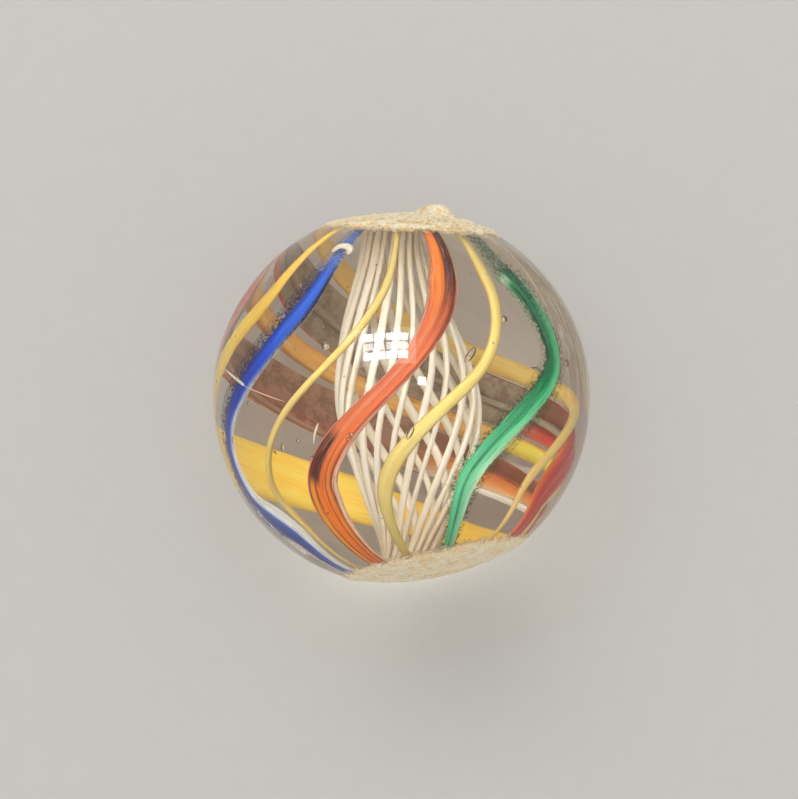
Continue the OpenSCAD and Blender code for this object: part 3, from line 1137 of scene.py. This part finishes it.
@dataclass(frozen=True)
class CoreCage:
    """The twisted cage of pale threads in the core."""

    caster: Caster
    count: int = 18
    size: float = 0.028
    wind_crown: float = 55.0
    wind_foot: float = 68.0
    wander: float = 2.0
    wander_turn: float = 137.0
    sides: int = 10

    def build(self) -> list[bpy.types.Object]:
        """Builds every thread."""
        cream = CREAM_GLASS.material()
        turns = [math.tau * k / self.sides for k in range(self.sides)]
        pieces = []
        for i in range(1, self.count + 1):
            waist = 360 / self.count * i + self.wander * math.sin(math.radians(self.wander_turn * i))
            name = f"core_thread_{i}"
            width = self.size * (1 + 0.2 * math.sin(2.4 * i))
            height = self.size / 2 * (0.9 - 0.2 * math.sin(2.4 * i))
            cane = Cane(name, waist, waist + self.wind_crown, waist - self.wind_foot, 0, (width,) * 3)
            oval = [(math.cos(t), height * math.sin(t)) for t in turns]
            mesh = self.caster.cast(cane, Track.CAGE, lambda _: oval, [math.cos(t) for t in turns], 0.16)
            piece = finished(f"{name}_cane", mesh, [name])
            piece.data.materials.append(cream)
            pieces.append(piece)
        return pieces


@dataclass(frozen=True)
class ClearBall:
    """The clear body: a ball with a low dome over each scar and a blob at the crown."""

    pattern: Pattern
    scar_height: float = 0.965
    crown_angle: float = 25.0
    foot_angle: float = 28.0
    nub_middle: Vector = field(default_factory=lambda: leaning(20, 1, 7))
    nub_radius: float = 0.13
    nub_reach: float = 1.02
    fineness: int = 6
    ripple: float = 0.0002
    ripple_pitch: float = 3.2

    def middle(self, scar: Scar) -> Vector:
        """Gives the direction of a scar's middle."""
        return self.pattern.crown_middle if scar is Scar.CROWN else self.pattern.foot_middle

    def reach(self, way: Vector) -> float:
        """Gives the distance from the centre to the surface in a unit direction."""
        result = 1.0
        for scar, angle in ((Scar.CROWN, self.crown_angle), (Scar.FOOT, self.foot_angle)):
            half = math.radians(angle)
            rise = self.scar_height - math.cos(half)
            radius = (math.sin(half) ** 2 + rise ** 2) / (2 * rise)
            centre = self.middle(scar) * (self.scar_height - radius)
            result = min(result, ray_exit(way, centre, radius))
        nub_centre = self.nub_middle * (self.nub_reach - self.nub_radius)
        return max(result, ray_exit(way, nub_centre, self.nub_radius))

    def build(self) -> bpy.types.Object:
        """Builds the ball's outer surface."""
        mesh = bmesh.new()
        bmesh.ops.create_icosphere(mesh, subdivisions=self.fineness, radius=1.0)
        for vert in mesh.verts:
            way = vert.co.normalized()
            wave = noise.noise(way * self.ripple_pitch) - 1
            vert.co = way * (self.reach(way) + self.ripple * wave)
        bmesh.ops.scale(mesh, vec=(self.pattern.radius,) * 3, verts=mesh.verts)
        piece = finished("clear_ball", mesh, ["clear_body"])
        piece.data.materials.append(ClearGlass().material())
        return piece


@dataclass(frozen=True)
class ScarSkin:
    """The rough beige skin over a scar."""

    ball: ClearBall
    scar: Scar
    half_angle: float
    finish: ScarCrust
    roughness: float
    lift: float = 0.004
    rim_slope: float = 8.0
    depth: float = 0.014
    margin: float = 1.5
    lump: float = 0.02
    lump_width: float = 0.22
    fineness: int = 6

    def build(self) -> bpy.types.Object:
        """Builds the skin as a closed shell over the scar's dome."""
        middle = self.ball.middle(self.scar)
        mesh = bmesh.new()
        bmesh.ops.create_icosphere(mesh, subdivisions=self.fineness, radius=1.0)
        widest = math.cos(math.radians(self.half_angle + self.margin))
        bmesh.ops.bisect_plane(
            mesh, geom=[*mesh.verts, *mesh.edges, *mesh.faces], plane_co=middle * widest,
            plane_no=middle, clear_inner=True)
        bmesh.ops.subdivide_edges(mesh, edges=mesh.edges, cuts=1, use_grid_fill=True)
        rim, ridge_of = (mesh.verts.layers.float.new(name) for name in ("rim", "ridge"))
        for vert in mesh.verts:
            way = vert.co.normalized()
            angle = math.degrees(math.acos(min(1.0, way.dot(middle))))
            share = angle / self.half_angle
            vert[rim] = share
            layered = Vector((way.x * 4, way.y * 24, way.z * 9))
            ridge = 1 - abs(noise.fractal(layered, 1.0, 2.0, 4)) * 2
            grit = noise.noise(way * 34)
            vert[ridge_of] = ridge
            fade = 1 - ease((angle - self.half_angle + 5) / 5)
            rise = max(self.roughness * (0.6 * ridge + 0.35 * grit - 0.3) * fade, -0.6 * self.lift)
            rise += self.lump * math.exp(-(way.angle(self.ball.nub_middle) / self.lump_width) ** 2)
            over = self.lift * min(1.0, (1 - share) * self.rim_slope)
            vert.co = way * (self.ball.reach(way) + over + rise)
        bmesh.ops.recalc_face_normals(mesh, faces=mesh.faces)
        bmesh.ops.solidify(mesh, geom=list(mesh.faces), thickness=self.depth)
        bmesh.ops.scale(mesh, vec=(self.ball.pattern.radius,) * 3, verts=mesh.verts)
        bmesh.ops.recalc_face_normals(mesh, faces=mesh.faces)
        piece = finished(f"{self.scar.name.lower()}_skin", mesh, ["clear_body"])
        piece.data.materials.append(self.finish.material())
        return piece


@dataclass(frozen=True)
class PaintedScarReflection:
    """A painted reflection of the crown's scar: a thin streaky sheet that runs down one side of the ball from the
    scar.
    """

    ball: ClearBall
    azimuth: float = 78.0
    spread: float = 27.0
    reach: float = 92.0
    sink: float = 0.016
    depth: float = 0.003
    fullness: float = 0.85
    fineness: int = 5

    def build(self) -> bpy.types.Object:
        """Builds the painted reflection as a closed shell just under the surface."""
        middle = self.ball.middle(Scar.CROWN)
        toward = bearing(self.azimuth, 0)
        toward = (toward - middle * toward.dot(middle)).normalized()
        beside = middle.cross(toward)
        mesh = bmesh.new()
        bmesh.ops.create_icosphere(mesh, subdivisions=self.fineness, radius=1.0)
        half = math.radians(self.spread)
        lowest = math.radians(self.reach)
        cuts = (
            toward * math.cos(half) + beside * math.sin(half),
            toward * math.cos(half) - beside * math.sin(half),
        )
        for cut in cuts:
            inward = (cut - toward * cut.dot(toward)).normalized() * -1
            plane = (inward * math.cos(half) + toward * math.sin(half)).normalized()
            bmesh.ops.bisect_plane(
                mesh, geom=[*mesh.verts, *mesh.edges, *mesh.faces], plane_co=(0, 0, 0),
                plane_no=plane, clear_inner=True)
        bmesh.ops.bisect_plane(
            mesh, geom=[*mesh.verts, *mesh.edges, *mesh.faces], plane_co=middle * math.cos(lowest),
            plane_no=middle, clear_inner=True)
        names = ("film", "turn", "reach")
        film, turn_of, reach_of = (mesh.verts.layers.float.new(name) for name in names)
        for vert in mesh.verts:
            way = vert.co.normalized()
            angle = math.degrees(math.acos(min(1.0, way.dot(middle))))
            turn = math.degrees(math.atan2(way.dot(beside), way.dot(toward)))
            edge = ease((self.spread - abs(turn)) / (self.spread * 0.6))
            vert[film] = self.fullness * edge * ease((self.reach - angle) / 20) * ease((angle - 18) / 6)
            vert[turn_of] = turn / 2.2
            vert[reach_of] = angle / 26
            vert.co = way * (self.ball.reach(way) - self.sink)
        bmesh.ops.recalc_face_normals(mesh, faces=mesh.faces)
        bmesh.ops.solidify(mesh, geom=list(mesh.faces), thickness=self.depth)
        bmesh.ops.scale(mesh, vec=(self.ball.pattern.radius,) * 3, verts=mesh.verts)
        bmesh.ops.recalc_face_normals(mesh, faces=mesh.faces)
        piece = finished("painted_reflection_film", mesh, ["clear_body"])
        piece.data.materials.append(PaintedReflectionGlass().material())
        return piece


@dataclass(frozen=True)
class Bubble:
    """One bubble in the clear glass.

    Attributes:
        middle: Its place.
        radius: Its radius across.
        stretch: How many times longer than wide it is.
        lean: Direction of its long axis in the XY plane, in degrees from +X.
    """

    middle: tuple[float, float, float]
    radius: float
    stretch: float = 1.0
    lean: float = 0.0


@dataclass(frozen=True)
class Sliver:
    """One pale sliver in the clear glass.

    Attributes:
        path: Where it starts, bends and ends.
        width: Its full width.
        thickness: Its full thickness.
    """

    path: tuple[tuple[float, float, float], ...]
    width: float
    thickness: float

    def spot(self, share: float) -> Vector:
        """Gives the point at a share of the way along it."""
        start, bend, end = (Vector(point) for point in self.path)
        pull = 2 * bend - (start + end) / 2
        return start.lerp(pull, share).lerp(pull.lerp(end, share), share)


@dataclass(frozen=True)
class Flaws:
    """Bubbles, seed bubbles and small pale slivers in the clear glass; two slivers make a crescent over a bubble that
    is partly a frosty rim and partly a painted glint.
    """

    pattern: Pattern
    seeds: int = 70
    seed_start: int = 11
    bubbles: tuple[Bubble, ...] = (
        Bubble((-0.165, 0.711, 0.593), 0.022, 1.6, 10),
        Bubble((-0.336, 0.23, 0.802), 0.02),
        Bubble((0.346, 0.075, 0.828), 0.018, 2.6, 47),
        Bubble((0.001, -0.257, 0.883), 0.014, 2.6, 55),
        Bubble((0.538, 0.236, 0.682), 0.017),
        Bubble((-0.297, -0.233, 0.817), 0.011),
        Bubble((-0.612, -0.205, 0.628), 0.012, 2.0, 70),
        Bubble((-0.768, 0.037, 0.592), 0.009, 1.3, 20),
        Bubble((-0.55, -0.203, 0.773), 0.011, 1.2, 60),
        Bubble((-0.281, -0.217, 0.853), 0.012, 1.2, 0),
    )
    slivers: tuple[Sliver, ...] = (
        # The first two slivers make the pale crescent over the bubble above the blue ribbon: partly a frosty rim,
        # partly a painted glint of the bubble's bright edge.
        Sliver(((-0.238, 0.716, 0.577), (-0.186, 0.752, 0.602), (-0.129, 0.716, 0.62)), 0.046, 0.03),
        Sliver(((-0.186, 0.74, 0.607), (-0.15, 0.722, 0.62), (-0.16, 0.684, 0.634)), 0.042, 0.03),
        Sliver(((-0.869, 0.254, 0.348), (-0.801, 0.159, 0.524), (-0.779, 0.131, 0.563)), 0.016, 0.012),
        Sliver(((-0.779, 0.131, 0.563), (-0.69, 0.064, 0.672), (-0.582, -0.004, 0.776)), 0.005, 0.005),
        Sliver(((-0.436, -0.139, 0.855), (-0.462, -0.184, 0.836), (-0.477, -0.233, 0.812)), 0.013, 0.01),
    )

    def sliver_piece(self) -> bpy.types.Object:
        """Sweeps every sliver, thin at both ends, and joins them in one piece."""
        whole = bmesh.new()
        sides, count = 10, 20
        turns = [math.tau * k / sides for k in range(sides)]
        for sliver in self.slivers:
            rings = []
            for i in range(count):
                share = i / (count - 1)
                point = sliver.spot(share)
                along = (sliver.spot(share + 0.01) - sliver.spot(share - 0.01)).normalized()
                across = point.cross(along).normalized()
                place = Matrix((across, along.cross(across), along)).transposed().to_4x4()
                place.translation = point
                size = math.sqrt(max(4 * share * (1 - share), 0.02)) / 2
                oval = [(sliver.width * size * math.cos(t), sliver.thickness * size * math.sin(t)) for t in turns]
                rings.append(Ring(Matrix.Scale(self.pattern.radius, 4) @ place, oval, share, 0.0))
            part = swept(rings, [0.6 * math.cos(t) for t in turns], sides)
            data = bpy.data.meshes.new("sliver")
            part.to_mesh(data)
            part.free()
            whole.from_mesh(data)
            bpy.data.meshes.remove(data)
        piece = finished("pale_slivers_and_glint", whole, ["clear_body"])
        piece.data.materials.append(SLIVER_GLASS.material())
        return piece

    def oval(self, mesh: bmesh.types.BMesh, bubble: Bubble, fineness: int) -> None:
        """Adds one bubble's skin to a mesh.

        Args:
            mesh: The mesh.
            bubble: The bubble.
            fineness: Subdivisions of its sphere.
        """
        size = Matrix.Diagonal((bubble.radius * bubble.stretch, bubble.radius, bubble.radius, 1))
        turn = Matrix.Rotation(math.radians(bubble.lean), 4, "Z")
        place = Matrix.Translation(Vector(bubble.middle))
        whole = Matrix.Scale(self.pattern.radius, 4) @ place @ turn @ size
        bmesh.ops.create_icosphere(mesh, subdivisions=fineness, radius=1.0, matrix=whole)

    def build(self) -> list[bpy.types.Object]:
        """Builds the bubbles and the slivers."""
        skin = BubbleGas().material()
        pieces = []
        for i, bubble in enumerate(self.bubbles, 1):
            mesh = bmesh.new()
            self.oval(mesh, bubble, 3)
            piece = finished(f"bubble_{i}", mesh, ["clear_body"])
            piece.data.materials.append(skin)
            pieces.append(piece)
        mesh = bmesh.new()
        draw = random.Random(self.seed_start)
        for _ in range(self.seeds):
            way = bearing(draw.uniform(0, 360), math.degrees(math.asin(draw.uniform(-0.85, 0.85))))
            middle = tuple(way * draw.uniform(0.84, 0.95))
            self.oval(mesh, Bubble(middle, draw.uniform(0.003, 0.0075), draw.uniform(1, 1.8), draw.uniform(0, 180)), 1)
        piece = finished("seed_bubbles", mesh, ["clear_body"])
        piece.data.materials.append(skin)
        return [*pieces, piece, self.sliver_piece()]


# ---- Stage, lamps and camera ----


@dataclass(frozen=True)
class Studio:
    """Floor, soft lamps and the camera over the ball.

    Attributes:
        radius: The ball's radius, in metres.
        view_distance: Distance of the camera from the ball's centre.
        ball_share: The ball's radius as a share of half the picture's width.
        sensor: Width of the camera's sensor, in millimetres.
        turn: Turn of the camera about the upright, in degrees.
        tip: Tip of the camera off the upright, in degrees.
        off_right: How far the ball stands right of the picture's middle.
        off_up: How far it stands above the picture's middle.
        floor_colour: The floor's colour.
    """

    radius: float
    view_distance: float = 14.0
    ball_share: float = 188.5 / 399.0
    sensor: float = 36.0
    turn: float = 9.0
    tip: float = 5.3
    off_right: float = 0.0133
    off_up: float = 0.0106
    floor_colour: Colour = tint(200, 197, 191)

    def view_axes(self) -> Matrix:
        """Gives the camera's right, up and backward axes as a rotation."""
        turned = Matrix.Rotation(math.radians(-self.turn), 4, "Z")
        return turned @ Matrix.Rotation(math.radians(self.tip), 4, "X")

    def camera(self) -> None:
        """Places the camera over the ball, nearly straight above it."""
        axes = self.view_axes()
        data = bpy.data.cameras.new("camera")
        data.sensor_width = self.sensor
        edge = math.tan(math.asin(1 / self.view_distance))
        data.lens = self.sensor / 2 / (edge / self.ball_share)
        data.clip_start = 0.001
        camera = bpy.data.objects.new("camera", data)
        right, up, back = (axes.to_3x3().col[k] for k in range(3))
        target = -self.off_right * right - self.off_up * up
        axes.translation = (target + back * self.view_distance) * self.radius
        camera.matrix_world = axes
        bpy.context.scene.collection.objects.link(camera)
        bpy.context.scene.camera = camera

    def floor(self) -> None:
        """Builds the plain floor under the ball."""
        mesh = bmesh.new()
        bmesh.ops.create_circle(mesh, cap_ends=True, segments=64, radius=4.0)
        bmesh.ops.translate(mesh, vec=(0, 0, -self.radius), verts=mesh.verts)
        data = bpy.data.meshes.new("floor")
        mesh.to_mesh(data)
        mesh.free()
        floor = bpy.data.objects.new("floor", data)
        bpy.context.scene.collection.objects.link(floor)
        r = Recipe("floor_paper")
        grain = r.noise(r.place(), 900.0, 3.0)
        colour = r.blend(r.span(grain, 0.3, 0.7, 0.0, 0.06), self.floor_colour, tint(180, 176, 170))
        paper = r.add("ShaderNodeBsdfPrincipled", {
            "Base Color": colour, "Roughness": 0.9, "Specular IOR Level": 0.1,
        })
        data.materials.append(r.output(paper))

    def lamp(
        self, name: str, way: Vector, size: Point, radiance: float, distance: float = 0.35, seen: bool = True
    ) -> None:
        """Adds a flat lamp that faces the ball.

        Args:
            name: The lamp's name.
            way: Direction to it in the camera's axes.
            size: Width and height as it is seen from the ball, in radians.
            radiance: How bright its face is, where a white sky is 1.
            distance: Distance in metres.
            seen: Whether it only shows in reflections, or else only lights the surfaces.
        """
        data = bpy.data.lights.new(name, "AREA")
        data.shape = "RECTANGLE"
        data.size, data.size_y = (share * distance for share in size)
        data.energy = radiance * math.pi * data.size * data.size_y
        lamp = bpy.data.objects.new(name, data)
        back = way.normalized()
        side = (Vector((1, 0, 0)) - back * back.x).normalized()
        place = Matrix((side, back.cross(side), back)).transposed().to_4x4()
        place.translation = back * distance
        lamp.matrix_world = self.view_axes() @ place
        lamp.visible_diffuse = not seen
        lamp.visible_glossy = seen
        bpy.context.scene.collection.objects.link(lamp)

    def light(self) -> None:
        """Adds a soft key lamp, a window of twelve panes, a small lamp and the plain sky."""
        middle = Vector((-0.158, 0.505, 0.847)).normalized()
        side = (Vector((1, 0, 0)) - middle * middle.x).normalized()
        rise = middle.cross(side)
        self.lamp("key", middle, (0.9, 0.75), 2.15, seen=False)
        self.lamp("glow", middle, (0.62, 0.4), 3.0, 0.4)
        pitch, pane = (0.116, 0.098), (0.1, 0.078)
        radiances = (30.0, 13.0, 21.0)
        columns = 4
        for i in range(columns):
            for j, radiance in enumerate(radiances):
                across = (i - (columns - 1) / 2) * pitch[0]
                upward = (j - (len(radiances) - 1) / 2) * pitch[1]
                way = middle + side * across + rise * upward
                self.lamp(f"pane_{i}_{j}", way, pane, radiance)
        self.lamp("small_lamp", Vector((0.205, 0.163, 0.965)), (0.085, 0.085), 24.0)
        world = bpy.data.worlds.new("sky")
        world.use_nodes = True
        sky = world.node_tree.nodes["Background"]
        sky.inputs["Color"].default_value = (0.97, 0.98, 1.0, 1.0)
        sky.inputs["Strength"].default_value = 0.72
        bpy.context.scene.world = world


def main() -> None:
    """Builds the camera, the stage and every piece of the marble."""
    logging.basicConfig(level=logging.INFO, format="%(message)s")
    low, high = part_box("clear_body")
    radius = (high.z - low.z) / 2
    bpy.context.scene.view_settings.view_transform = "Standard"
    studio = Studio(radius)
    studio.camera()
    studio.floor()
    studio.light()
    pattern = Pattern(radius)
    caster = Caster(pattern)
    ball = ClearBall(pattern)
    pieces = [ball.build()]
    pieces += ColourRing(caster).build()
    pieces += CoreCage(caster).build()
    pieces.append(ScarSkin(ball, Scar.CROWN, 29.5, CROWN_CRUST, 0.018).build())
    # The foot's skin takes the crust with painted light.
    pieces.append(ScarSkin(ball, Scar.FOOT, 31.0, FOOT_CRUST_PAINTED_LIGHT, 0.011).build())
    # The sheet down one side is a painted reflection of the crown's scar.
    pieces.append(PaintedScarReflection(ball).build())
    pieces += Flaws(pattern).build()
    for piece in pieces:
        LOG.info("%s: %d faces", piece.name, len(piece.data.polygons))


if __name__ == "__main__":
    main()
